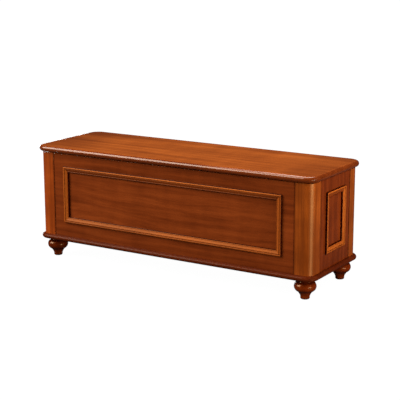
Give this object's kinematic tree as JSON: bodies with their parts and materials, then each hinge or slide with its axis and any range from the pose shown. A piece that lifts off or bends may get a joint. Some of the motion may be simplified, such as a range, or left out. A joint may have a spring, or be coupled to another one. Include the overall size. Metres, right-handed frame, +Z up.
{
  "type": "blanket chest",
  "caption": "Long low wooden storage chest with a hinged lid, rounded corner posts, moulded panels and turned bun feet.",
  "frame": {"origin": "on the floor under the middle of the chest", "axes": "+X along the chest to its right-hand end as seen from the front, -Y out of the front, +Z up"},
  "size_m": [1.198, 0.39, 0.441],
  "materials": {
    "lid_wood": "red-brown stain, gloss lacquer, straight grain along the lid",
    "board_wood": "dark red-brown stain, gloss lacquer",
    "post_wood": "orange-brown stain, gloss lacquer, upright grain",
    "moulding_wood": "orange-brown stain, gloss lacquer",
    "base_wood": "dark red-brown stain, gloss lacquer",
    "foot_wood": "very dark red-brown stain, gloss lacquer, turned",
    "inner_wood": "satin sealed wood, lightly stained",
    "brass": "satin brass",
    "steel": "zinc plated",
    "nylon": "dark nylon",
    "bumper_rubber": "dark brown rubber"
  },
  "bodies": {
    "case": {"back_board": "board_wood", "base_rail_front": "base_wood", "base_rail_left": "base_wood", "base_rail_rear": "base_wood", "base_rail_right": "base_wood", "bottom_panel": "inner_wood", "bumper_left": "bumper_rubber", "bumper_right": "bumper_rubber", "foot_front_left": "foot_wood", "foot_front_right": "foot_wood", "foot_glide_front_left": "nylon", "foot_glide_front_right": "nylon", "foot_glide_rear_left": "nylon", "foot_glide_rear_right": "nylon", "foot_rear_left": "foot_wood", "foot_rear_right": "foot_wood", "foot_stud_front_left": "steel", "foot_stud_front_right": "steel", "foot_stud_rear_left": "steel", "foot_stud_rear_right": "steel", "front_board": "board_wood", "front_field": "board_wood", "front_moulding_bottom": "moulding_wood", "front_moulding_left": "moulding_wood", "front_moulding_right": "moulding_wood", "front_moulding_top": "moulding_wood", "hinge_centre_case_leaf": "brass", "hinge_centre_pin": "brass", "hinge_left_case_leaf": "brass", "hinge_left_pin": "brass", "hinge_right_case_leaf": "brass", "hinge_right_pin": "brass", "left_board": "board_wood", "left_field": "board_wood", "left_moulding_bottom": "moulding_wood", "left_moulding_left": "moulding_wood", "left_moulding_right": "moulding_wood", "left_moulding_top": "moulding_wood", "post_front_left": "post_wood", "post_front_right": "post_wood", "post_rear_left": "post_wood", "post_rear_right": "post_wood", "right_board": "board_wood", "right_field": "board_wood", "right_moulding_bottom": "moulding_wood", "right_moulding_left": "moulding_wood", "right_moulding_right": "moulding_wood", "right_moulding_top": "moulding_wood", "stay_left_track": "brass", "stay_right_track": "brass"},
    "lid": {"lid_top": "lid_wood", "lid_batten_left": "inner_wood", "lid_batten_right": "inner_wood", "hinge_left_lid_leaf": "brass", "hinge_centre_lid_leaf": "brass", "hinge_right_lid_leaf": "brass", "stay_left_bracket": "brass", "stay_right_bracket": "brass"},
    "stay_arm_left": {"stay_left_arm": "brass"},
    "stay_arm_right": {"stay_right_arm": "brass"}
  },
  "joints": [
    {"name": "lid_hinge", "type": "hinge", "parent": "case", "child": "lid", "pos_m": [0, 0.1854, 0.4175], "axis": [-1, 0, 0], "range_deg": [0, 90]},
    {"name": "stay_left_pivot", "type": "hinge", "parent": "lid", "child": "stay_arm_left", "pos_m": [-0.56, 0.0854, 0.4025], "axis": [-1, 0, 0], "range_deg": [-130, 0]},
    {"name": "stay_right_pivot", "type": "hinge", "parent": "lid", "child": "stay_arm_right", "pos_m": [0.56, 0.0854, 0.4025], "axis": [-1, 0, 0], "range_deg": [-130, 0]}
  ],
  "couplings": [
    {"joint": "stay_left_pivot", "follows": "lid_hinge", "ratio": -1.44},
    {"joint": "stay_right_pivot", "follows": "lid_hinge", "ratio": -1.44}
  ]
}
